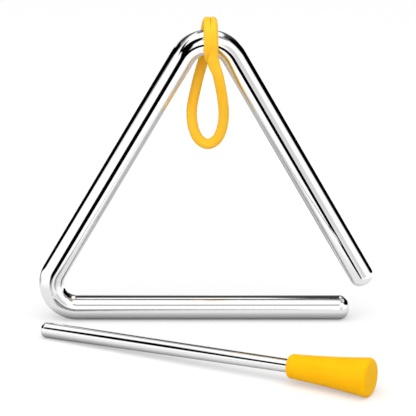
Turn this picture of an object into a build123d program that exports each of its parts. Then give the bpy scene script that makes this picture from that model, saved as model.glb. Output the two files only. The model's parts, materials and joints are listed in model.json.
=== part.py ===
"""Hand triangle: an open bar of round steel, a rubber cord loop to hang it by, and its beater."""
import os
from math import asin, atan2, cos, degrees, hypot, pi, radians, sin, sqrt, tan

from build123d import *

# Triangle bar: round steel bent twice, left open at the right-hand base corner
rod_diameter = 10.0
base_length = 141.8  # corner to corner on the centreline, were the corners sharp
apex_height = 123.0  # from the base bar's centreline, to the apex as a sharp corner
apex_offset = 1.0  # apex to the right of the middle of the base
corner_bend_radius = 10.5  # centreline of the closed base corner
apex_bend_radius = 11.6  # centreline of the bend that carries the loop
base_end_setback = 12.8  # from the open corner back to the end of the base bar
leg_end_setback = 12.0  # from the open corner up to the end of the right leg
rod_end_rounding = 4.0

# Hanging loop: a ring of soft cord, drawn thinner where it is stretched round the bar
cord_diameter = 4.2
stretched_diameter = 2.8
strand_gap = 0.45  # between neighbouring turns on the bar
wrap_quarters = 6  # quarter turns round the bar, from the front strand to the rear one
wrap_clearance = 0.35  # least gap to the bar as the loop swings right round it
wrap_drop = 0.2  # the turns hang this far below the centre of the bar
lead_length = 4.0  # straight and still stretched, below the turns
taper_length = 4.0  # straight, where the cord gets back to its full thickness
entry_length = 5.5  # first run of full thickness, before the eye opens
eye_bend_share = 0.45  # of each run of the eye, taken up by the bend at either end
shoulder_angle = 30.0  # round the outermost strand's section, where the bar's bend comes nearest

# Beater: tapered steel rod with a flared rubber grip
beater_length = 142.0
tip_diameter = 6.4
neck_diameter = 5.3  # where the rod enters the grip
tip_rounding = 2.5
grip_length = 33.7
grip_neck_diameter = 9.3
grip_rim_diameter = 15.5
grip_flare_hollow = 0.35  # how far the grip's side is hollowed below a straight cone
grip_neck_rounding = 1.6
grip_rim_rounding = 1.6
grip_seat_depth = 25.0  # length of rod inside the grip
grip_bore_clearance = 0.05  # radial
grip_bore_end_gap = 0.3

# Where the beater lies on the floor, in front of the triangle
beater_tip_inset = 5.1  # tip inward of the closed corner
beater_tip_front = 20.0  # tip in front of the triangle's plane
beater_yaw = 26.0  # grip end turned towards the viewer

# Centreline of the bar, with the base bar lying on the floor
rod_radius = rod_diameter / 2
left_corner = Vector(-base_length / 2, 0, rod_radius)
right_corner = Vector(base_length / 2, 0, rod_radius)
apex_corner = Vector(apex_offset, 0, rod_radius + apex_height)
left_leg = (left_corner - apex_corner).normalized()
right_leg = (right_corner - apex_corner).normalized()
base_end = right_corner - Vector(base_end_setback, 0, 0)
leg_end = right_corner - right_leg * leg_end_setback

with BuildPart() as triangle_rod:
    with BuildLine() as bar_path:
        FilletPolyline(
            base_end, left_corner, apex_corner, leg_end,
            radius=[corner_bend_radius, apex_bend_radius],
        )
    with BuildSketch(Plane(origin=bar_path.line @ 0, z_dir=bar_path.line % 0)):
        Circle(rod_radius)
    sweep(path=bar_path.line)
    fillet(triangle_rod.faces().filter_by(GeomType.PLANE).edges(), rod_end_rounding)
triangle_rod.part.label = "triangle_rod"

# The turns of the loop run along a straight axis through the top of the apex bend. The bar curves down
# on both sides of it, so the shoulder of the outermost strand's section comes nearest to the bend.
half_apex = radians(left_leg.get_angle(right_leg) / 2)
bend_center = apex_corner + (left_leg + right_leg).normalized() * (apex_bend_radius / sin(half_apex))
wrap_center = bend_center + Vector(0, 0, apex_bend_radius - wrap_drop)
strand_radius = stretched_diameter / 2
cord_radius = cord_diameter / 2
wrap_pitch = stretched_diameter + strand_gap
outer_strand = wrap_pitch * wrap_quarters / 8
shoulder = outer_strand + strand_radius * sin(radians(shoulder_angle))
bend_inside = apex_bend_radius - rod_radius
bar_underside = apex_bend_radius - sqrt(bend_inside**2 - shoulder**2) - wrap_drop
wrap_radius = bar_underside + strand_radius * cos(radians(shoulder_angle)) + wrap_clearance


def wrap_point(quarter):
    """Point of the turns, counted in quarters from the front strand, over the top and round."""
    turn = quarter * pi / 2
    across = outer_strand - quarter * wrap_pitch / 4
    return wrap_center + Vector(across, -wrap_radius * cos(turn), wrap_radius * sin(turn))


# With this slope the quarter arcs follow on from each other smoothly, each one like the last
wrap_slope = wrap_pitch / (8 * wrap_radius)
front_rise = Vector(-wrap_slope, 0, 1).normalized()
rear_fall = Vector(-wrap_slope, 0, -1).normalized()
front_end = wrap_point(0)
rear_end = wrap_point(wrap_quarters)
front_lead = front_end - front_rise * lead_length
rear_lead = rear_end + rear_fall * lead_length
front_full = front_lead - front_rise * taper_length
rear_full = rear_lead + rear_fall * taper_length

# Route of the drop-shaped eye, from the rear strand down, round the bottom and up to the front strand.
# The points are chosen by hand, in millimetres from the centre of the turns.
eye_points = [
    (-5.7, 5.0, -20.5),
    (-7.2, 3.0, -28.0),
    (-6.8, 1.2, -35.6),
    (-3.7, 0.3, -41.6),
    (2.9, -0.3, -41.6),
    (6.0, -1.2, -35.6),
    (6.4, -3.0, -28.0),
    (5.0, -5.0, -20.5),
]
eye_route = [
    rear_full,
    rear_full + rear_fall * entry_length,
    *(wrap_center + Vector(*point) for point in eye_points),
    front_full - front_rise * entry_length,
    front_full,
]


def route_radii(route):
    """Bend radius at each inner point of a route, as large as its two runs allow."""
    radii = []
    for before, point, after in zip(route, route[1:], route[2:]):
        arriving = point - before
        leaving = after - point
        shorter_run = min(arriving.length, leaving.length)
        turn = radians(arriving.get_angle(leaving))
        radii.append(eye_bend_share * shorter_run / tan(turn / 2))
    return radii


eye_radii = route_radii(eye_route)

with BuildPart() as hanging_loop:
    with BuildLine() as wrap_path:
        Line(front_lead, front_end)
        heading = front_rise
        for quarter in range(wrap_quarters):
            arc = TangentArc(wrap_point(quarter), wrap_point(quarter + 1), tangent=heading)
            heading = arc % 1
        Line(rear_end, rear_lead)
    with BuildSketch(Plane(origin=front_lead, z_dir=front_rise)) as strand_section:
        Circle(strand_radius)
    sweep(strand_section.sketch, path=wrap_path.line)
    with BuildLine() as eye_path:
        FilletPolyline(*eye_route, radius=eye_radii)
    with BuildSketch(Plane(origin=rear_full, z_dir=eye_path.line % 0)) as cord_section:
        Circle(cord_radius)
    sweep(cord_section.sketch, path=eye_path.line)
    for thin_end, thick_end in ((front_lead, front_full), (rear_lead, rear_full)):
        with BuildSketch(Plane(origin=thin_end, z_dir=thick_end - thin_end)) as thin_section:
            Circle(strand_radius)
        with BuildSketch(Plane(origin=thick_end, z_dir=thick_end - thin_end)) as thick_section:
            Circle(cord_radius)
        loft([thin_section.sketch, thick_section.sketch])
hanging_loop.part.label = "hanging_loop"

# The beater lies on two rounded rims, at its tip and at the grip's wide end. The floor touches both.
def rounding_center(edge_radius, rounding, slope):
    """Distance from the axis to the centre of a rim's rounding, where the side falls away from the rim."""
    return edge_radius - rounding * slope - rounding * sqrt(1 + slope**2)


tip_radius = tip_diameter / 2
neck_radius = neck_diameter / 2
grip_neck_radius = grip_neck_diameter / 2
grip_rim_radius = grip_rim_diameter / 2
grip_start = beater_length - grip_length
flare_rise = grip_rim_radius - grip_neck_radius
flare_chord = hypot(grip_length, flare_rise)
rim_slope = tan(atan2(flare_rise, grip_length) + 2 * atan2(2 * grip_flare_hollow, flare_chord))
rod_taper = (tip_radius - neck_radius) / grip_start
tip_center = rounding_center(tip_radius, tip_rounding, rod_taper)
rim_center = rounding_center(grip_rim_radius, grip_rim_rounding, rim_slope)
rim_reach = beater_length - grip_rim_rounding - tip_rounding
rim_rise = rim_center - tip_center
rounding_turn = asin((grip_rim_rounding - tip_rounding) / hypot(rim_rise, rim_reach))
beater_tilt = atan2(rim_rise, rim_reach) + rounding_turn
beater_run = Vector(
    cos(radians(beater_yaw)) * cos(beater_tilt),
    -sin(radians(beater_yaw)) * cos(beater_tilt),
    sin(beater_tilt),
)
tip_height = tip_rounding + tip_center * cos(beater_tilt) - tip_rounding * sin(beater_tilt)
beater_tip = Vector(left_corner.X + beater_tip_inset, -beater_tip_front, tip_height)
beater_side = Vector(sin(radians(beater_yaw)), cos(radians(beater_yaw)), 0)
beater_plane = Plane(origin=beater_tip, x_dir=beater_run, z_dir=beater_side)
beater_axis = Axis(beater_tip, beater_run)

with BuildPart() as beater_rod:
    with BuildSketch(beater_plane):
        with BuildLine():
            Polyline(
                (0, 0),
                (0, tip_radius),
                (grip_start, neck_radius),
                (grip_start + grip_seat_depth, neck_radius),
                (grip_start + grip_seat_depth, 0),
                close=True,
            )
        make_face()
    revolve(axis=beater_axis)
    fillet(beater_rod.edges().filter_by(GeomType.CIRCLE).sort_by(beater_axis)[0], tip_rounding)
beater_rod.part.label = "beater_rod"

with BuildPart() as beater_grip:
    bore_radius = neck_radius + grip_bore_clearance
    bore_end = grip_start + grip_seat_depth + grip_bore_end_gap
    with BuildSketch(beater_plane):
        with BuildLine():
            SagittaArc(
                (grip_start, grip_neck_radius), (beater_length, grip_rim_radius), -grip_flare_hollow
            )
            Polyline(
                (beater_length, grip_rim_radius),
                (beater_length, 0),
                (bore_end, 0),
                (bore_end, bore_radius),
                (grip_start, bore_radius),
                (grip_start, grip_neck_radius),
            )
        make_face()
    revolve(axis=beater_axis)
    grip_rims = beater_grip.edges().filter_by(GeomType.CIRCLE).sort_by(beater_axis)
    fillet(grip_rims[-1], grip_rim_rounding)
    neck_rims = beater_grip.edges().filter_by(GeomType.CIRCLE).group_by(beater_axis)[0]
    fillet(neck_rims.sort_by(SortBy.RADIUS)[-1], grip_neck_rounding)
beater_grip.part.label = "beater_grip"

# The set stands with the middle of its footprint on the origin. The cord is left out of that box.
set_box = Compound([triangle_rod.part, beater_rod.part, beater_grip.part]).bounding_box()
footprint_center = Vector(set_box.center().X, set_box.center().Y, set_box.min.Z)

os.makedirs("parts", exist_ok=True)
for piece in (triangle_rod, hanging_loop, beater_rod, beater_grip):
    piece.part.position -= footprint_center
    export_step(piece.part, f"parts/{piece.part.label}.step")

# Check of the cord: its bend radii, its volume against its sections, and the least gap to itself
samples_per_stretch = 120
neighbour_reach = 3 * cord_diameter  # along the cord, nearer points are its own run, not a gap


def ring_samples():
    """Points round the whole ring of cord, each with the cord's radius there."""
    shares = [i / samples_per_stretch for i in range(samples_per_stretch)]
    growth = cord_radius - strand_radius
    ring = [(wrap_wire @ share, strand_radius) for share in shares]
    rear_taper = rear_full - rear_lead
    front_taper = front_lead - front_full
    ring += [(rear_lead + rear_taper * share, strand_radius + growth * share) for share in shares]
    ring += [(eye_wire @ share, cord_radius) for share in shares]
    ring += [(front_full + front_taper * share, cord_radius - growth * share) for share in shares]
    return ring


def least_gap(ring, ring_length):
    """Smallest gap between two stretches of the ring that are not neighbours along it."""
    travelled = [0.0]
    for (before, _), (after, _) in zip(ring, ring[1:]):
        travelled.append(travelled[-1] + (after - before).length)
    smallest = ring_length
    for i, (first, first_radius) in enumerate(ring):
        for j, (second, second_radius) in enumerate(ring[:i]):
            apart = travelled[i] - travelled[j]
            if min(apart, ring_length - apart) > neighbour_reach:
                smallest = min(smallest, (first - second).length - first_radius - second_radius)
    return smallest


wrap_wire = wrap_path.wire()
eye_wire = eye_path.wire()
cord_length = wrap_wire.length + eye_wire.length + 2 * taper_length
taper_section = (strand_radius**2 + strand_radius * cord_radius + cord_radius**2) / 3
cord_volume = pi * (
    strand_radius**2 * wrap_wire.length + cord_radius**2 * eye_wire.length + 2 * taper_section * taper_length
)
print("eye bend radii", [round(radius, 1) for radius in eye_radii])
print("cord length", round(cord_length, 1))
print("cord volume over section times length", round(hanging_loop.part.volume / cord_volume, 4))
print("least gap of the cord to itself", round(least_gap(ring_samples(), cord_length), 2))
print("middle of the base bar's corners", Vector() - footprint_center)
print("centre of the turns", wrap_center - footprint_center)
print("beater tilt in degrees", round(degrees(beater_tilt), 2))
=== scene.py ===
"""Looks of the hand triangle: a chromed bar on a rubber cord loop, with its chromed beater."""
import json
from math import cos, hypot, pi, radians, sin, tan

import bpy
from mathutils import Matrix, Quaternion, Vector


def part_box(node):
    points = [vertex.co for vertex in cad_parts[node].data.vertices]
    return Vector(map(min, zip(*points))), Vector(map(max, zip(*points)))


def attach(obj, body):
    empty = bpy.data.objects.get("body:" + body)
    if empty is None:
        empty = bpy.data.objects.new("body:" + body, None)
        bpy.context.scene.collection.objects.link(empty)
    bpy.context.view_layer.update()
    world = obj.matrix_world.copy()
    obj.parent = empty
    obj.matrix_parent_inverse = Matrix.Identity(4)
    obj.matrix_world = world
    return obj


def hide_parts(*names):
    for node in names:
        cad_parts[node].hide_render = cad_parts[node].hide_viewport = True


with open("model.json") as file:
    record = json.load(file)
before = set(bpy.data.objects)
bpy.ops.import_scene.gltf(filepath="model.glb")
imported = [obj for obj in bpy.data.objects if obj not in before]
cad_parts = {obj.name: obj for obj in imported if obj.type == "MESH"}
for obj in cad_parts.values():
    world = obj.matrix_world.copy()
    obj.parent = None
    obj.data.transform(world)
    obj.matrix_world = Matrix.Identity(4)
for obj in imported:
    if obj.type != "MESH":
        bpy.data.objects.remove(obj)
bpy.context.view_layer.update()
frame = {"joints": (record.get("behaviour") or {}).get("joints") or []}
scene = bpy.context.scene
MM = 0.001
X_AXIS = Vector((1, 0, 0))

# Bar, as in the solid: round steel bent twice, open at the right-hand base corner
BAR_DIAMETER = 10.0 * MM
BASE_LENGTH = 141.8 * MM
APEX_HEIGHT = 123.0 * MM
APEX_OFFSET = 1.0 * MM
CORNER_BEND_RADIUS = 10.5 * MM
APEX_BEND_RADIUS = 11.6 * MM
BASE_END_SETBACK = 12.8 * MM
LEG_END_SETBACK = 12.0 * MM
BAR_END_ROUNDING = 4.0 * MM
BASE_MIDDLE_X = 0.118 * MM  # middle of the base, from the middle of the set's footprint
BAR_RINGS = 900
BAR_END_RINGS = 16
BAR_SIDES = 80
BEND_STEPS = 360

# Beater, as in the solid: a tapered rod in a flared rubber grip
BEATER_LENGTH = 142.0 * MM
TIP_DIAMETER = 6.4 * MM
NECK_DIAMETER = 5.3 * MM
TIP_ROUNDING = 2.5 * MM
GRIP_LENGTH = 33.7 * MM
GRIP_NECK_DIAMETER = 9.3 * MM
GRIP_RIM_DIAMETER = 15.5 * MM
GRIP_FLARE_HOLLOW = 0.35 * MM
GRIP_FLARE_STEPS = 24
GRIP_ROUNDING = 1.6 * MM
GRIP_SEAT_DEPTH = 25.0 * MM
GRIP_BORE_CLEARANCE = 0.05 * MM
GRIP_BORE_END_GAP = 0.3 * MM
BEATER_TIP = Vector((-65.682, 21.722, 3.1125)) * MM
BEATER_YAW = radians(26.0)
BEATER_TILT = radians(1.8)
TURNED_SIDES = 128

# Cord of the hanging loop, round where it hangs and squeezed where it goes round the bar
CORD_DIAMETER = 4.2 * MM
STRAND_PITCH = 2.84 * MM  # neighbouring strands touch
STRAND_PRESS = 0.04 * MM  # how far their flat sides sink into each other
STRAND_INNER_RADIUS = 5.6 * MM  # from the axis that the loop turns about
STRAND_DEPTH_FRONT = 3.7 * MM
STRAND_DEPTH_TOP = 4.6 * MM
STRAND_DEPTH_UNDER = 2.8 * MM
STRAND_SQUARENESS = 20  # of a side that is quite flat; 0 would be an oval
STRAND_TOP_FLATNESS = 0.16  # on top of the bar the strands part a little
FRONT_STRAND_PLACE = 0.87  # pitches to the right of the hinge
TURN_LEAD = 30  # degrees below the front of the bar at which a turn is taken to begin
TURN_SHIFTS = [(0.11, 0, 90), (0.47, 90, 180), (0.42, 180, 330)]  # pitches, and the angles they take
STRAND_TUCK = 1.2 * MM  # sideways, where a strand slips behind the front limb
LIMB_NECK_WIDTH = 4.9 * MM  # front limb, spread where it comes off the bar
LIMB_NECK_DEPTH = 3.5 * MM
TURN_POINTS = 12  # route points for each turn round the bar
SPLINE_STEPS = 12  # rings of the tube for each route point
CORD_SIDES = 48

# Photograph's view
FRAME_PIXELS = 416
FOCAL_PIXELS = 2232
CAMERA_DISTANCE = 0.900
CAMERA_ELEVATION = radians(18.0)
CAMERA_TARGET = Vector((0.76, 41.73, 47.67)) * MM

hinge = Vector(next(j["pos_m"] for j in frame["joints"] if j["name"] == "loop_turn"))
bar_low, bar_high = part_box("triangle_rod")


def add_node(tree, kind, inputs=None, **settings):
    """Add a node. An input takes a value, a socket, or a node, which gives its first output.

    Numbered inputs of a map range: 0 value, 1 and 2 the range it comes from, 3 and 4 the one it goes to.
    """
    made = tree.nodes.new(kind)
    for name, value in settings.items():
        setattr(made, name, value)
    for key, value in (inputs or {}).items():
        if isinstance(value, bpy.types.Node):
            value = value.outputs[0]
        if isinstance(value, bpy.types.NodeSocket):
            tree.links.new(value, made.inputs[key])
        else:
            made.inputs[key].default_value = value
    return made


def linear(hex_colour):
    """An sRGB hex colour as linear RGBA."""
    channels = [int(hex_colour[i:i + 2], 16) / 255 for i in (1, 3, 5)]
    return [c / 12.92 if c <= 0.04045 else ((c + 0.055) / 1.055) ** 2.4 for c in channels] + [1.0]


def new_material(name):
    """An empty node material, with its tree."""
    material = bpy.data.materials.new(name)
    material.use_nodes = True
    material.node_tree.nodes.clear()
    return material, material.node_tree


def new_piece(name, mesh):
    """A named object at the origin for a finished mesh."""
    mesh.name = name
    piece = bpy.data.objects.new(name, mesh)
    scene.collection.objects.link(piece)
    return piece


# Camera
camera = bpy.data.objects.new("camera", bpy.data.cameras.new("camera"))
scene.collection.objects.link(camera)
camera.data.lens = camera.data.sensor_width * FOCAL_PIXELS / FRAME_PIXELS
sight_line = Vector((0, cos(CAMERA_ELEVATION), -sin(CAMERA_ELEVATION)))
camera.location = CAMERA_TARGET - sight_line * CAMERA_DISTANCE
camera.rotation_euler = sight_line.to_track_quat("-Z", "Y").to_euler()
scene.camera = camera


# Fine patterns of the surfaces, in real sizes
SMUDGE_SIZE = 12 * MM
DRAW_LINE_SPACING = 0.5 * MM  # finer on the real bar
DRAW_LINE_LENGTH = 60 * MM
DRAW_LINE_HEIGHT = 0.002 * MM
PIGMENT_DRIFT_SIZE = 9 * MM
MOULD_GRAIN_HEIGHT = 0.02 * MM


def polished_chrome(name):
    """Chrome plate on drawn, buffed steel: a mirror with faint lengthwise lines and hand smudges."""
    material, tree = new_material(name)
    place = add_node(tree, "ShaderNodeTexCoord")
    # Smudges dull the mirror a little
    smudge = add_node(
        tree, "ShaderNodeTexNoise",
        {"Vector": place.outputs["Object"], "Scale": 1 / SMUDGE_SIZE, "Detail": 3.0},
    )
    roughness = add_node(
        tree, "ShaderNodeMapRange",
        {0: smudge.outputs["Fac"], 1: 0.35, 2: 0.75, 3: 0.03, 4: 0.075},
    )
    # Draw lines run along the bar
    along = add_node(tree, "ShaderNodeAttribute", attribute_name="along")
    around = add_node(tree, "ShaderNodeAttribute", attribute_name="around")
    far_along = add_node(
        tree, "ShaderNodeMath", {0: along.outputs["Fac"], 1: 1 / DRAW_LINE_LENGTH}, operation="MULTIPLY",
    )
    turn = add_node(tree, "ShaderNodeMath", {0: around.outputs["Fac"], 1: 2 * pi}, operation="MULTIPLY")
    lines_across = BAR_DIAMETER / (2 * DRAW_LINE_SPACING)
    side_sine = add_node(tree, "ShaderNodeMath", {0: turn}, operation="SINE")
    side_cosine = add_node(tree, "ShaderNodeMath", {0: turn}, operation="COSINE")
    side = add_node(tree, "ShaderNodeMath", {0: side_sine, 1: lines_across}, operation="MULTIPLY")
    front = add_node(tree, "ShaderNodeMath", {0: side_cosine, 1: lines_across}, operation="MULTIPLY")
    lines_at = add_node(tree, "ShaderNodeCombineXYZ", {0: side, 1: front, 2: far_along})
    lines = add_node(tree, "ShaderNodeTexNoise", {"Vector": lines_at, "Scale": 1.0, "Detail": 2.0})
    bump = add_node(
        tree, "ShaderNodeBump",
        {"Strength": 0.25, "Distance": DRAW_LINE_HEIGHT, "Height": lines.outputs["Fac"]},
    )
    shader = add_node(
        tree, "ShaderNodeBsdfPrincipled",
        {"Base Color": linear("#F1F1F1"), "Metallic": 1.0, "Roughness": roughness, "Normal": bump},
    )
    add_node(tree, "ShaderNodeOutputMaterial", {"Surface": shader})
    return material


def satin_rubber(name, light_hex, deep_hex, roughness, sheen, grain_size):
    """Soft coloured rubber: an even satin skin, a fine mould grain and slight changes of shade."""
    material, tree = new_material(name)
    place = add_node(tree, "ShaderNodeTexCoord")
    # Shade drifts slowly, as pigment does in soft rubber
    drift = add_node(
        tree, "ShaderNodeTexNoise",
        {"Vector": place.outputs["Object"], "Scale": 1 / PIGMENT_DRIFT_SIZE, "Detail": 2.0},
    )
    shade = add_node(tree, "ShaderNodeMapRange", {0: drift.outputs["Fac"], 1: 0.3, 2: 0.7})
    colour = add_node(
        tree, "ShaderNodeMix",
        {"Factor": shade, 6: linear(light_hex), 7: linear(deep_hex)}, data_type="RGBA",
    )
    grain = add_node(
        tree, "ShaderNodeTexNoise",
        {"Vector": place.outputs["Object"], "Scale": 1 / grain_size, "Detail": 3.0},
    )
    skin = add_node(
        tree, "ShaderNodeMapRange",
        {0: grain.outputs["Fac"], 1: 0.3, 2: 0.7, 3: roughness - 0.05, 4: roughness + 0.07},
    )
    bump = add_node(
        tree, "ShaderNodeBump",
        {"Strength": 0.3, "Distance": MOULD_GRAIN_HEIGHT, "Height": grain.outputs["Fac"]},
    )
    shader = add_node(
        tree, "ShaderNodeBsdfPrincipled",
        {
            "Base Color": colour.outputs[2],
            "Roughness": skin,
            "Normal": bump,
            "IOR": 1.43,
            "Specular IOR Level": sheen,
            "Subsurface Weight": 0.35,
            "Subsurface Radius": (1.0, 0.45, 0.1),
            "Subsurface Scale": 1.0 * MM,
        },
    )
    add_node(tree, "ShaderNodeOutputMaterial", {"Surface": shader})
    return material


bar_chrome = polished_chrome("chrome_plate_on_drawn_steel")
cord_rubber = satin_rubber("extruded_silicone_rubber", "#FFC437", "#FEBE2C", 0.46, 0.10, 0.45 * MM)
grip_rubber = satin_rubber("moulded_soft_rubber", "#FDBD14", "#FAB50E", 0.42, 0.03, 0.5 * MM)


# Loop route: the turns round the bar by a rule, the eye listed, in millimetres from the turning axis
EYE_REAR_TO_FRONT = [
    (-1.4, 7.7, -6.0),
    (-2.3, 7.2, -9.8),
    (-3.8, 6.3, -14.6),
    (-5.3, 5.0, -20.8),
    (-6.9, 3.0, -28.0),
    (-6.5, 1.5, -34.4),
    (-4.4, 0.5, -39.7),
    (-0.4, 0.0, -42.2),
    (3.6, -0.5, -39.7),
    (5.6, -1.5, -34.4),
    (6.2, -3.0, -28.0),
    (5.4, -5.0, -20.5),
    (4.5, -6.3, -15.2),
    (3.55, -7.0, -10.6),
    (1.6, -7.55, -6.0),
]
FIRST_TURN_ANGLE = -15.0  # just below the front of the bar
JOIN_ANGLE = 270.0  # the ring of cord is joined under the bar, out of sight
LAST_TURN_ANGLE = 555.0


def ramp(value, start, end):
    """Smooth step from 0 at start to 1 at end."""
    share = min(max((value - start) / (end - start), 0.0), 1.0)
    return share * share * (3 - 2 * share)


def turn_section(angle):
    """Squeezed section at an angle round the bar: half width, half depth, and how flat each side is."""
    on_top = max(sin(radians(angle)), 0.0)
    under = max(-sin(radians(angle)), 0.0)
    depth = STRAND_DEPTH_FRONT
    depth += (STRAND_DEPTH_TOP - STRAND_DEPTH_FRONT) * on_top
    depth += (STRAND_DEPTH_UNDER - STRAND_DEPTH_FRONT) * under
    flatness = STRAND_TOP_FLATNESS + (1 - STRAND_TOP_FLATNESS) * ramp(on_top, 1.0, 0.5)
    # A side is flat only where another strand lies against it
    left_flat = flatness * (1 - ramp(angle, 180, 215))
    right_flat = flatness * ramp(angle, 320, 345)
    return (STRAND_PITCH + STRAND_PRESS) / 2, depth / 2, left_flat, right_flat


def turn_point(angle):
    """Route point at an angle round the bar, 0 in front and 90 on top. The spline cuts inside it."""
    half_depth = turn_section(angle)[1]
    reach = (STRAND_INNER_RADIUS + half_depth) / cos(pi / TURN_POINTS)
    turns, past = divmod(angle + TURN_LEAD, 360)
    past -= TURN_LEAD
    shift = sum(pitches * ramp(past, start, end) for pitches, start, end in TURN_SHIFTS)
    # The second strand slips aside under the bar and is back in line at its front
    tuck = STRAND_TUCK * ramp(angle, 322, 288) * ramp(angle, 225, 285)
    across = STRAND_PITCH * (FRONT_STRAND_PLACE - turns - shift) + tuck
    return hinge + Vector((across, -reach * cos(radians(angle)), reach * sin(radians(angle))))


def loop_route():
    """Route points of the ring of cord from its join, each with its section."""
    step = 360 / TURN_POINTS
    count = round((LAST_TURN_ANGLE - FIRST_TURN_ANGLE) / step) + 1
    angles = [FIRST_TURN_ANGLE + step * i for i in range(count)]
    turns = [(turn_point(a), turn_section(a)) for a in angles]
    before_join = [t for t, a in zip(turns, angles) if a < JOIN_ANGLE]
    after_join = [t for t, a in zip(turns, angles) if a > JOIN_ANGLE]
    round_section = (CORD_DIAMETER / 2, CORD_DIAMETER / 2, 0.0, 0.0)
    eye = [(hinge + Vector(point) * MM, round_section) for point in EYE_REAR_TO_FRONT]
    eye[-1] = (eye[-1][0], (LIMB_NECK_WIDTH / 2, LIMB_NECK_DEPTH / 2, 0.0, 0.0))
    return after_join + eye + before_join, len(after_join), len(after_join) + len(eye)


def spline_points(points):
    """Points read from a smooth spline with these control points."""
    curve = bpy.data.curves.new("loop_route", "CURVE")
    curve.dimensions = "3D"
    curve.resolution_u = SPLINE_STEPS
    spline = curve.splines.new("NURBS")
    spline.points.add(len(points) - 1)
    for control, point in zip(spline.points, points):
        control.co = (*point, 1.0)
    spline.order_u = 3
    spline.use_endpoint_u = True
    holder = bpy.data.objects.new("loop_route", curve)
    scene.collection.objects.link(holder)
    wire = bpy.data.meshes.new_from_object(holder.evaluated_get(bpy.context.evaluated_depsgraph_get()))
    line = [v.co.copy() for v in wire.vertices]
    bpy.data.objects.remove(holder)
    bpy.data.curves.remove(curve)
    bpy.data.meshes.remove(wire)
    return line


def section_point(section, turn):
    """Point of the cord's section: an oval whose sides go flat where strands press on each other."""
    half_width, half_depth, left_flat, right_flat = section
    flat = right_flat if cos(turn) > 0 else left_flat
    power = 2 / (2 + STRAND_SQUARENESS * flat)
    side = (1 if cos(turn) > 0 else -1) * abs(cos(turn)) ** power
    out = (1 if sin(turn) > 0 else -1) * abs(sin(turn)) ** power
    return half_width * side, half_depth * out


def blended(sections, place):
    """Section between two route points."""
    index = min(int(place), len(sections) - 2)
    share = place - index
    return [a + (b - a) * share for a, b in zip(sections[index], sections[index + 1])]


def hanging_loop():
    """The ring of cord as one closed tube along its route."""
    route, eye_start, eye_end = loop_route()
    controls = [point for point, _ in route]
    sections = [section for _, section in route]
    join = (controls[0] + controls[-1]) / 2
    line = spline_points([join, *controls, join])
    ring_points = line[:-1]
    count = len(ring_points)
    places = [i / count * len(controls) - 0.5 for i in range(count)]
    tangents = [(line[i + 1] - line[i - 1 if i else -2]).normalized() for i in range(count)]

    # The section's width lies along the bar on the turns, and is carried round the eye with an even twist
    first = next(i for i, place in enumerate(places) if place > eye_start)
    last = next(i for i, place in enumerate(places) if place > eye_end - 1)
    widths = [(X_AXIS - t * X_AXIS.dot(t)).normalized() for t in tangents]
    carried = widths[first]
    for i in range(first, last):
        carried = (carried - tangents[i] * carried.dot(tangents[i])).normalized()
        widths[i] = carried
    end_width = widths[last]
    carried = (carried - tangents[last] * carried.dot(tangents[last])).normalized()
    twist = carried.angle(end_width)
    if carried.cross(end_width).dot(tangents[last]) < 0:
        twist = -twist
    for i in range(first, last):
        turn = Quaternion(tangents[i], twist * (i - first) / (last - first))
        widths[i] = turn @ widths[i]

    vertices = []
    for point, tangent, width, place in zip(ring_points, tangents, widths, places):
        section = blended(sections, min(max(place, 0), len(sections) - 1.001))
        outward = width.cross(tangent)
        for side in range(CORD_SIDES):
            across, out = section_point(section, 2 * pi * (side + 0.5) / CORD_SIDES)
            vertices.append(point + width * across + outward * out)
    faces = []
    for ring in range(count):
        here, there = ring * CORD_SIDES, (ring + 1) % count * CORD_SIDES
        for side in range(CORD_SIDES):
            beside = (side + 1) % CORD_SIDES
            faces.append((here + side, there + side, there + beside, here + beside))
    mesh = bpy.data.meshes.new("hanging_loop_cord")
    mesh.from_pydata(vertices, [], faces)
    mesh.shade_smooth()
    mesh.materials.append(cord_rubber)
    return new_piece("hanging_loop_cord", mesh), line


loop_cord, loop_line = hanging_loop()
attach(loop_cord, "loop")
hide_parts("hanging_loop")


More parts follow.
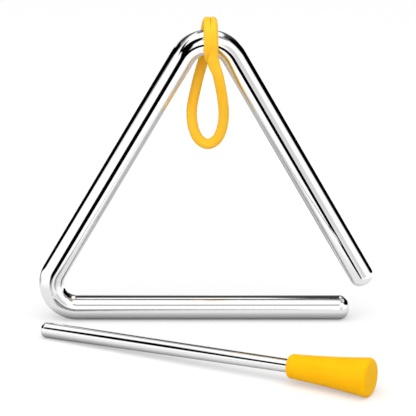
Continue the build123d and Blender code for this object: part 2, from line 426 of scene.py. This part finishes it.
def bent_bar_nodes():
    """Nodes for a round bar on a path of two bends, with both its ends rounded over."""
    tree = bpy.data.node_groups.new("bent_round_bar", "GeometryNodeTree")
    for name in ("Base End", "Closed Corner", "Apex", "Leg End"):
        tree.interface.new_socket(name, in_out="INPUT", socket_type="NodeSocketVector")
    for name in ("Diameter", "Corner Bend Radius", "Apex Bend Radius", "End Rounding"):
        tree.interface.new_socket(name, in_out="INPUT", socket_type="NodeSocketFloat")
    for name in ("Rings", "End Rings", "Sides", "Bend Steps"):
        tree.interface.new_socket(name, in_out="INPUT", socket_type="NodeSocketInt")
    tree.interface.new_socket("Material", in_out="INPUT", socket_type="NodeSocketMaterial")
    tree.interface.new_socket("Geometry", in_out="OUTPUT", socket_type="NodeSocketGeometry")
    size = add_node(tree, "NodeGroupInput").outputs
    math = "ShaderNodeMath"

    # Path of the bar's centreline
    corners = add_node(
        tree, "GeometryNodeCurvePrimitiveQuadrilateral",
        {7: size["Base End"], 8: size["Closed Corner"], 9: size["Apex"], 10: size["Leg End"]},
        mode="POINTS",
    )
    open_path = add_node(tree, "GeometryNodeSetSplineCyclic", {"Geometry": corners, "Cyclic": False})
    index = add_node(tree, "GeometryNodeInputIndex")
    at_apex = add_node(tree, math, {0: index, 1: 1.5}, operation="GREATER_THAN")
    bend_radius = add_node(
        tree, "ShaderNodeMapRange",
        {0: at_apex, 3: size["Corner Bend Radius"], 4: size["Apex Bend Radius"]},
    )
    path = add_node(
        tree, "GeometryNodeFilletCurve",
        {"Curve": open_path, "Count": size["Bend Steps"], "Radius": bend_radius}, mode="POLY",
    )
    length = add_node(tree, "GeometryNodeCurveLength", {"Curve": path})

    # Rings counted from the nearer end: the first few follow the rounding, the rest are evenly spaced
    last_ring = add_node(tree, math, {0: size["Rings"], 1: 1.0}, operation="SUBTRACT")
    from_far_end = add_node(tree, math, {0: last_ring, 1: index}, operation="SUBTRACT")
    from_end = add_node(tree, math, {0: index, 1: from_far_end}, operation="MINIMUM")
    end_share = add_node(tree, math, {0: from_end, 1: size["End Rings"]}, operation="DIVIDE", use_clamp=True)
    end_turn = add_node(tree, math, {0: end_share, 1: pi / 2}, operation="MULTIPLY")
    end_cosine = add_node(tree, math, {0: end_turn}, operation="COSINE")
    end_sine = add_node(tree, math, {0: end_turn}, operation="SINE")
    round_off = add_node(tree, math, {0: 1.0, 1: end_cosine}, operation="SUBTRACT")
    end_inset = add_node(tree, math, {0: round_off, 1: size["End Rounding"]}, operation="MULTIPLY")
    past_end = add_node(tree, math, {0: from_end, 1: size["End Rings"]}, operation="SUBTRACT")
    past_end = add_node(tree, math, {0: past_end, 1: 0.0}, operation="MAXIMUM")
    middle_ring = add_node(tree, math, {0: last_ring, 1: 0.5}, operation="MULTIPLY")
    middle_rings = add_node(tree, math, {0: middle_ring, 1: size["End Rings"]}, operation="SUBTRACT")
    half_length = add_node(tree, math, {0: length, 1: 0.5}, operation="MULTIPLY")
    straight = add_node(tree, math, {0: half_length, 1: size["End Rounding"]}, operation="SUBTRACT")
    spacing = add_node(tree, math, {0: straight, 1: middle_rings}, operation="DIVIDE")
    inset = add_node(tree, math, {0: past_end, 1: spacing, 2: end_inset}, operation="MULTIPLY_ADD")
    past_middle = add_node(tree, math, {0: index, 1: middle_ring}, operation="GREATER_THAN")
    from_start = add_node(tree, math, {0: length, 1: inset}, operation="SUBTRACT")
    along = add_node(
        tree, "ShaderNodeMapRange", {0: past_middle, 3: inset, 4: from_start}, clamp=False
    )
    radius = add_node(tree, math, {0: size["Diameter"], 1: 0.5}, operation="MULTIPLY")
    end_flat = add_node(tree, math, {0: radius, 1: size["End Rounding"]}, operation="SUBTRACT")
    ring_radius = add_node(
        tree, math, {0: end_sine, 1: size["End Rounding"], 2: end_flat}, operation="MULTIPLY_ADD"
    )

    # Rings set along the path and skinned
    row = add_node(tree, "GeometryNodeMeshLine", {"Count": size["Rings"]})
    ring_line = add_node(tree, "GeometryNodeMeshToCurve", {"Mesh": row})
    spot = add_node(tree, "GeometryNodeSampleCurve", {"Curves": path, "Length": along}, mode="LENGTH")
    placed = add_node(
        tree, "GeometryNodeSetPosition", {"Geometry": ring_line, "Position": spot.outputs["Position"]}
    )
    marked = add_node(
        tree, "GeometryNodeStoreNamedAttribute",
        {"Geometry": placed, "Name": "along", "Value": along}, data_type="FLOAT", domain="POINT",
    )
    circle = add_node(
        tree, "GeometryNodeCurvePrimitiveCircle", {"Resolution": size["Sides"], "Radius": 1.0}, mode="RADIUS"
    )
    share = add_node(tree, "GeometryNodeSplineParameter")
    section = add_node(
        tree, "GeometryNodeStoreNamedAttribute",
        {"Geometry": circle, "Name": "around", "Value": share}, data_type="FLOAT", domain="POINT",
    )
    skin = add_node(
        tree, "GeometryNodeCurveToMesh",
        {"Curve": marked, "Profile Curve": section, "Scale": ring_radius, "Fill Caps": True},
    )
    smooth = add_node(tree, "GeometryNodeSetShadeSmooth", {"Geometry": skin})
    whole = add_node(tree, "GeometryNodeRealizeInstances", {"Geometry": smooth})
    finished = add_node(
        tree, "GeometryNodeSetMaterial", {"Geometry": whole, "Material": size["Material"]}
    )
    add_node(tree, "NodeGroupOutput", {"Geometry": finished})
    return tree


def made_by_nodes(name, tree, values):
    """A plain mesh piece from a node tree, with these values for its named inputs."""
    maker = new_piece(name + "_maker", bpy.data.meshes.new(name + "_maker"))
    modifier = maker.modifiers.new(name, "NODES")
    modifier.node_group = tree
    for item in tree.interface.items_tree:
        if item.in_out == "INPUT":
            modifier[item.identifier] = values[item.name]
    depsgraph = bpy.context.evaluated_depsgraph_get()
    mesh = bpy.data.meshes.new_from_object(
        maker.evaluated_get(depsgraph), preserve_all_data_layers=True, depsgraph=depsgraph
    )
    bpy.data.objects.remove(maker)
    return new_piece(name, mesh)


# Bar
bar_height = bar_low.z + BAR_DIAMETER / 2
bar_depth = (bar_low.y + bar_high.y) / 2
closed_corner = Vector((BASE_MIDDLE_X - BASE_LENGTH / 2, bar_depth, bar_height))
open_corner = Vector((BASE_MIDDLE_X + BASE_LENGTH / 2, bar_depth, bar_height))
apex = Vector((BASE_MIDDLE_X + APEX_OFFSET, bar_depth, bar_height + APEX_HEIGHT))
triangle_bar = made_by_nodes("triangle_bar", bent_bar_nodes(), {
    "Base End": open_corner - X_AXIS * BASE_END_SETBACK,
    "Closed Corner": closed_corner,
    "Apex": apex,
    "Leg End": open_corner + (apex - open_corner).normalized() * LEG_END_SETBACK,
    "Diameter": BAR_DIAMETER,
    "Corner Bend Radius": CORNER_BEND_RADIUS,
    "Apex Bend Radius": APEX_BEND_RADIUS,
    "End Rounding": BAR_END_ROUNDING,
    "Rings": BAR_RINGS,
    "End Rings": BAR_END_RINGS,
    "Sides": BAR_SIDES,
    "Bend Steps": BEND_STEPS,
    "Material": bar_chrome,
})
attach(triangle_bar, "triangle")
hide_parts("triangle_rod")


def rounded(corners, radii, steps=16):
    """An outline with tangent arcs at its corners. A radius of 0 leaves a corner sharp."""
    outline = [Vector(corners[0])]
    for before, corner, after, radius in zip(corners, corners[1:], corners[2:], radii):
        corner = Vector(corner)
        back = (Vector(before) - corner).normalized()
        ahead = (Vector(after) - corner).normalized()
        if radius == 0:
            outline.append(corner)
            continue
        half_corner = back.angle(ahead) / 2
        centre = corner + (back + ahead).normalized() * (radius / sin(half_corner))
        start = corner + back * (radius / tan(half_corner)) - centre
        end = corner + ahead * (radius / tan(half_corner)) - centre
        for i in range(steps + 1):
            outline.append(centre + start.lerp(end, i / steps).normalized() * radius)
    return outline + [Vector(corners[-1])]


def turned_piece(name, outline, material):
    """A piece turned about the beater's axis. The outline starts and ends on that axis."""
    run = Vector((
        cos(BEATER_YAW) * cos(BEATER_TILT), -sin(BEATER_YAW) * cos(BEATER_TILT), sin(BEATER_TILT),
    ))
    level = Vector((sin(BEATER_YAW), cos(BEATER_YAW), 0))
    upright = level.cross(run)
    vertices = [BEATER_TIP + run * outline[0].x]
    marks = [(outline[0].x, 0.0)]
    for spot in outline[1:-1]:
        for side in range(TURNED_SIDES):
            turn = 2 * pi * side / TURNED_SIDES
            vertices.append(BEATER_TIP + run * spot.x + (upright * cos(turn) + level * sin(turn)) * spot.y)
            marks.append((spot.x, side / TURNED_SIDES))
    vertices.append(BEATER_TIP + run * outline[-1].x)
    marks.append((outline[-1].x, 0.0))
    faces = []
    rings = len(outline) - 2
    for side in range(TURNED_SIDES):
        beside = (side + 1) % TURNED_SIDES
        faces.append((0, 1 + side, 1 + beside))
        for ring in range(rings - 1):
            here, there = 1 + ring * TURNED_SIDES, 1 + (ring + 1) * TURNED_SIDES
            faces.append((here + side, there + side, there + beside, here + beside))
        far = 1 + (rings - 1) * TURNED_SIDES
        faces.append((far + beside, far + side, len(vertices) - 1))
    mesh = bpy.data.meshes.new(name)
    mesh.from_pydata(vertices, [], faces)
    for attribute, values in zip(("along", "around"), zip(*marks)):
        mesh.attributes.new(attribute, "FLOAT", "POINT").data.foreach_set("value", values)
    mesh.shade_smooth()
    mesh.materials.append(material)
    return new_piece(name, mesh)


# Beater
grip_start = BEATER_LENGTH - GRIP_LENGTH
seat_end = grip_start + GRIP_SEAT_DEPTH
neck_radius = NECK_DIAMETER / 2
rod_outline = rounded(
    [(0, 0), (0, TIP_DIAMETER / 2), (grip_start, neck_radius), (seat_end, neck_radius), (seat_end, 0)],
    [TIP_ROUNDING, 0, 0],
)
beater_shaft = turned_piece("beater_shaft", rod_outline, bar_chrome)
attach(beater_shaft, "beater")
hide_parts("beater_rod")

bore_radius = neck_radius + GRIP_BORE_CLEARANCE
bore_end = seat_end + GRIP_BORE_END_GAP
flare = []
for step in range(GRIP_FLARE_STEPS + 1):
    share = step / GRIP_FLARE_STEPS
    straight = GRIP_NECK_DIAMETER / 2 + (GRIP_RIM_DIAMETER - GRIP_NECK_DIAMETER) / 2 * share
    hollow = 4 * GRIP_FLARE_HOLLOW * share * (1 - share)
    flare.append((grip_start + GRIP_LENGTH * share, straight - hollow))
grip_outline = rounded(
    [(bore_end, 0), (bore_end, bore_radius), (grip_start, bore_radius), flare[0], *flare[2:-2], flare[-1],
     (BEATER_LENGTH, 0)],
    [0, 0, GRIP_ROUNDING, *[0] * len(flare[2:-2]), GRIP_ROUNDING],
)
beater_handle = turned_piece("beater_handle", grip_outline, grip_rubber)
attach(beater_handle, "beater")
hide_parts("beater_grip")
beater_handle.visible_glossy = False  # the polished bar mirrors the studio, not the grip


# Stage: a matt card on the table
FLOOR_HALF_WIDTH = 1.2
FLOOR_SHADE = 0.62
FLOOR_LIFT = 0.36  # added for the camera, so that the card is white
MIRRORED_FLOOR_SHADE = 0.80
MIRRORED_PAINTED_CONTACT_SHADOW = 0.25  # painted contact shadow: the mirrored card is darkest right under the metal
CONTACT_REACH = 9 * MM
MIRROR_FADE_START = 30 * MM
MIRROR_FADE_END = 65 * MM


def pale_card():
    """Matt pale card, white to the camera but for soft shadows. Metal mirrors it only from close by, and
    there a painted contact shadow darkens it right under the metal.
    """
    material, tree = new_material("matt_pale_card")
    path = add_node(tree, "ShaderNodeLightPath").outputs
    # Painted contact shadow: as the metal mirrors it, the card darkens over the last few millimetres to the
    # metal
    painted_contact_shadow = add_node(
        tree, "ShaderNodeMapRange",
        {0: path["Ray Length"], 2: CONTACT_REACH, 3: MIRRORED_PAINTED_CONTACT_SHADOW, 4: MIRRORED_FLOOR_SHADE},
    )
    shade = add_node(tree, "ShaderNodeMapRange", {0: path["Is Glossy Ray"], 3: FLOOR_SHADE, 4: painted_contact_shadow})
    card = add_node(tree, "ShaderNodeBsdfDiffuse", {"Color": shade})
    glow = add_node(tree, "ShaderNodeMath", {0: path["Is Camera Ray"], 1: FLOOR_LIFT}, operation="MULTIPLY")
    lift = add_node(tree, "ShaderNodeEmission", {"Strength": glow})
    lit_card = add_node(tree, "ShaderNodeAddShader", {0: card, 1: lift})
    far_off = add_node(
        tree, "ShaderNodeMapRange", {0: path["Ray Length"], 1: MIRROR_FADE_START, 2: MIRROR_FADE_END},
        interpolation_type="SMOOTHSTEP",
    )
    lost = add_node(tree, "ShaderNodeMath", {0: far_off, 1: path["Is Glossy Ray"]}, operation="MULTIPLY")
    clear = add_node(tree, "ShaderNodeBsdfTransparent")
    surface = add_node(tree, "ShaderNodeMixShader", {0: lost, 1: lit_card, 2: clear})
    add_node(tree, "ShaderNodeOutputMaterial", {"Surface": surface})
    return material


floor_mesh = bpy.data.meshes.new("floor")
floor_corners = [Vector((x, y, 0)) * FLOOR_HALF_WIDTH for x, y in ((-1, -1), (1, -1), (1, 1), (-1, 1))]
floor_mesh.from_pydata(floor_corners, [], [(0, 1, 2, 3)])
floor_mesh.materials.append(pale_card())
new_piece("floor", floor_mesh)


# Dark and dim cards of the studio that polished metal mirrors. For each: brightness, softness of its edges
# and its corners clockwise, as azimuth from the front to the right and height, all but the first in degrees
MIRRORED_CARDS = [
    # Left of the back, and its dim surround
    (0.0, 3.0, [(-133, 12.5), (-133, 22), (-122, 35), (-92, 36), (-85, 31), (-83, 18)]),
    (0.0, 3.0, [
        (-172, -20), (-155, 3), (-135, 17), (-98, 20), (-98, 16.5), (-106, 10.4), (-116, 4.5), (-150, -14),
    ]),
    (0.12, 8.0, [
        (-178, 6), (-176, 24), (-165, 32), (-150, 38), (-130, 42), (-112, 40), (-118, 28), (-150, 10),
    ]),
    (0.35, 9.0, [
        (-160, 22), (-160, 38), (-135, 47), (-95, 47), (-78, 38), (-76, 22), (-88, 16), (-130, 14),
    ]),
    # Right of the back, and its dim surround
    (0.0, 4.0, [
        (104, 8), (88, 17), (80, 30), (81, 46), (92, 53), (112, 50), (133, 38), (154, -7), (130, -6.5),
    ]),
    (0.12, 8.0, [
        (82, 52), (84, 61), (100, 64), (118, 61), (140, 51), (158, 40), (172, 28), (180, 6), (165, 4),
    ]),
    (0.35, 9.0, [
        (92, 11), (77, 22), (68, 50), (80, 60), (110, 60), (140, 47), (152, 25), (150, -4), (125, -4),
    ]),
    (0.30, 5.0, [(66, 48), (38, 58), (45, 67), (72, 72), (92, 64)]),
    # Middle of the back, deeper at its right, and a dim strip on its left
    (0.06, 4.0, [(170, 16), (170, 60), (190, 60), (190, 16)]),
    (0.06, 4.0, [(-190, 16), (-190, 60), (-170, 60), (-170, 16)]),
    (0.0, 3.0, [(163, 58), (163, 74), (173, 74), (177, 58)]),
    (0.20, 6.0, [(-177, 30), (-176, 44), (-166, 57), (-150, 63), (-143, 60), (-166, 34)]),
    # Low at the back
    (0.25, 10.0, [(-190, -36), (-190, -4), (-165, -2), (-150, -12), (-150, -36)]),
    (0.45, 12.0, [(-168, -20), (-168, -7), (-125, -7), (-108, -10), (-115, -20)]),
    # Left of the front
    (0.0, 3.0, [
        (-32, 10), (-45, 17), (-47.5, 33), (-40, 47), (-28, 56), (-16, 60),
        (-12.5, 40), (-17.5, 19), (-22, 8),
    ]),
    (0.0, 2.5, [(-20, -5), (-34, 9), (-30, 14), (-18, 20), (-7, -6)]),
    (0.0, 3.0, [(-47, 10), (-70, 36.5), (-79, 52), (-72, 51), (-50, 32), (-42, 20)]),
    # Gap under the front wall, seam over it, and shade on its right
    (0.0, 2.0, [
        (-25, -9), (-25, -5.5), (-21, -1.5), (8, -8), (12, -11.5), (10.5, -15.5),
        (5, -22), (-3, -26), (-13, -25),
    ]),
    (0.3, 4.0, [(-12, 33), (-12, 43), (12, 46), (12, 36)]),
    (0.66, 7.0, [(12, -12), (12, 14), (28, 22), (42, 8), (45, -2), (30, -12)]),
]
TENT_LEVEL = 1.15
TABLE_SIDE_LEVEL = 0.55  # of the table beyond the floor card
TABLE_SIDES = (50.0, 85.0)  # azimuths over which the table dims
TABLE_HEIGHTS = (-20.0, -40.0)  # heights over which the tent gives way to the table
PANEL_LINE_LEVEL = 0.004
PANEL_LINE_LEAN = 0.14  # towards the back, as a share of the height
PANEL_LINE_HALF_WIDTH = 0.105
PANEL_LINE_HALF_LENGTH = 0.1
PANEL_LINE_HEIGHTS = (60.0, 70.0)
KEY_WAY = (-0.12, -0.92, 0.37)
KEY_SPREAD = (-0.5, 1.0)  # from the darkest to the brightest, as the cosine of the angle to the key
DOME_LEVELS = (0.28, 1.62)


def light_tent():
    """White tent round the set, in which polished metal also mirrors dark cards."""
    world = bpy.data.worlds.new("light_tent")
    scene.world = world
    world.use_nodes = True
    tree = world.node_tree
    tree.nodes.clear()
    math = "ShaderNodeMath"
    smooth = {"interpolation_type": "SMOOTHSTEP"}
    way = add_node(tree, "ShaderNodeTexCoord").outputs["Generated"]
    part = add_node(tree, "ShaderNodeSeparateXYZ", {0: way}).outputs
    forward = add_node(tree, math, {0: part[1], 1: -1.0}, operation="MULTIPLY")
    azimuth = add_node(tree, math, {0: part[0], 1: forward}, operation="ARCTAN2")
    azimuth = add_node(tree, math, {0: azimuth}, operation="DEGREES")
    sideways = add_node(tree, math, {0: azimuth}, operation="ABSOLUTE")
    height = add_node(tree, math, {0: part[2]}, operation="ARCSINE")
    height = add_node(tree, math, {0: height}, operation="DEGREES")

    # Tent, and the table beyond the card, dimmer to the sides
    table_level = add_node(
        tree, "ShaderNodeMapRange",
        {0: sideways, 1: TABLE_SIDES[0], 2: TABLE_SIDES[1], 3: TENT_LEVEL, 4: TABLE_SIDE_LEVEL}, **smooth,
    )
    mirrored = add_node(
        tree, "ShaderNodeMapRange",
        {0: height, 1: TABLE_HEIGHTS[0], 2: TABLE_HEIGHTS[1], 3: TENT_LEVEL, 4: table_level}, **smooth,
    )

    # Cards: each is dark on the inner side of all its edges
    spot = add_node(tree, "ShaderNodeCombineXYZ", {0: azimuth, 1: height, 2: 1.0})
    for brightness, softness, corners in MIRRORED_CARDS:
        inside = 1.0
        for (x, y), (next_x, next_y) in zip(corners, corners[1:] + corners[:1]):
            length = hypot(next_x - x, next_y - y)
            inward = Vector(((next_y - y) / length, (x - next_x) / length, 0))
            inward.z = -(inward.x * x + inward.y * y)
            depth = add_node(tree, "ShaderNodeVectorMath", {0: spot, 1: inward}, operation="DOT_PRODUCT")
            edge = add_node(
                tree, "ShaderNodeMapRange",
                {0: depth.outputs["Value"], 1: -softness / 2, 2: softness / 2}, **smooth,
            )
            inside = add_node(tree, math, {0: edge, 1: inside}, operation="MULTIPLY")
        shade = add_node(tree, "ShaderNodeMapRange", {0: inside, 3: 1.0, 4: brightness})
        mirrored = add_node(tree, math, {0: shade, 1: mirrored}, operation="MULTIPLY")

    # Dark line between two panels overhead
    lean = add_node(tree, math, {0: part[2], 1: PANEL_LINE_LEAN}, operation="MULTIPLY")
    panel_line = add_node(tree, math, {0: part[1], 1: lean, 2: PANEL_LINE_HALF_WIDTH}, operation="COMPARE")
    overhead = add_node(
        tree, "ShaderNodeMapRange",
        {0: height, 1: PANEL_LINE_HEIGHTS[0], 2: PANEL_LINE_HEIGHTS[1]}, **smooth,
    )
    panel_line = add_node(tree, math, {0: panel_line, 1: overhead}, operation="MULTIPLY")
    near_middle = add_node(tree, math, {0: part[0], 1: 0.0, 2: PANEL_LINE_HALF_LENGTH}, operation="COMPARE")
    panel_line = add_node(tree, math, {0: panel_line, 1: near_middle}, operation="MULTIPLY")
    mirrored = add_node(
        tree, "ShaderNodeMapRange", {0: panel_line, 3: mirrored, 4: PANEL_LINE_LEVEL}, clamp=False,
    )

    # Even light on everything else, strongest from the front, and white behind the set
    key = add_node(tree, "ShaderNodeVectorMath", {0: way, 1: KEY_WAY}, operation="DOT_PRODUCT")
    dome = add_node(
        tree, "ShaderNodeMapRange",
        {0: key.outputs["Value"], 1: KEY_SPREAD[0], 2: KEY_SPREAD[1], 3: DOME_LEVELS[0], 4: DOME_LEVELS[1]},
    )
    path = add_node(tree, "ShaderNodeLightPath").outputs
    lit = add_node(tree, "ShaderNodeMapRange", {0: path["Is Glossy Ray"], 3: dome, 4: mirrored}, clamp=False)
    seen = add_node(tree, "ShaderNodeMapRange", {0: path["Is Camera Ray"], 3: lit, 4: 1.0}, clamp=False)
    tent = add_node(tree, "ShaderNodeBackground", {"Color": (1, 1, 1, 1), "Strength": seen})
    add_node(tree, "ShaderNodeOutputWorld", {"Surface": tent})


light_tent()
scene.view_settings.view_transform = "Standard"

# Lamp
SOFTBOX_WIDTH = 0.7
SOFTBOX_DEPTH = 0.5
SOFTBOX_WATTS = 1.2
SOFTBOX_PLACE = Vector((0, -0.10, 0.75))
SOFTBOX_AIM = Vector((0, 0.03, 0))
softbox = bpy.data.lights.new("overhead_softbox", "AREA")
softbox.shape = "RECTANGLE"
softbox.size = SOFTBOX_WIDTH
softbox.size_y = SOFTBOX_DEPTH
softbox.energy = SOFTBOX_WATTS
softbox_holder = bpy.data.objects.new("overhead_softbox", softbox)
scene.collection.objects.link(softbox_holder)
softbox_holder.location = SOFTBOX_PLACE
softbox_holder.rotation_euler = (SOFTBOX_AIM - SOFTBOX_PLACE).to_track_quat("-Z", "Y").to_euler()
softbox_holder.visible_glossy = False
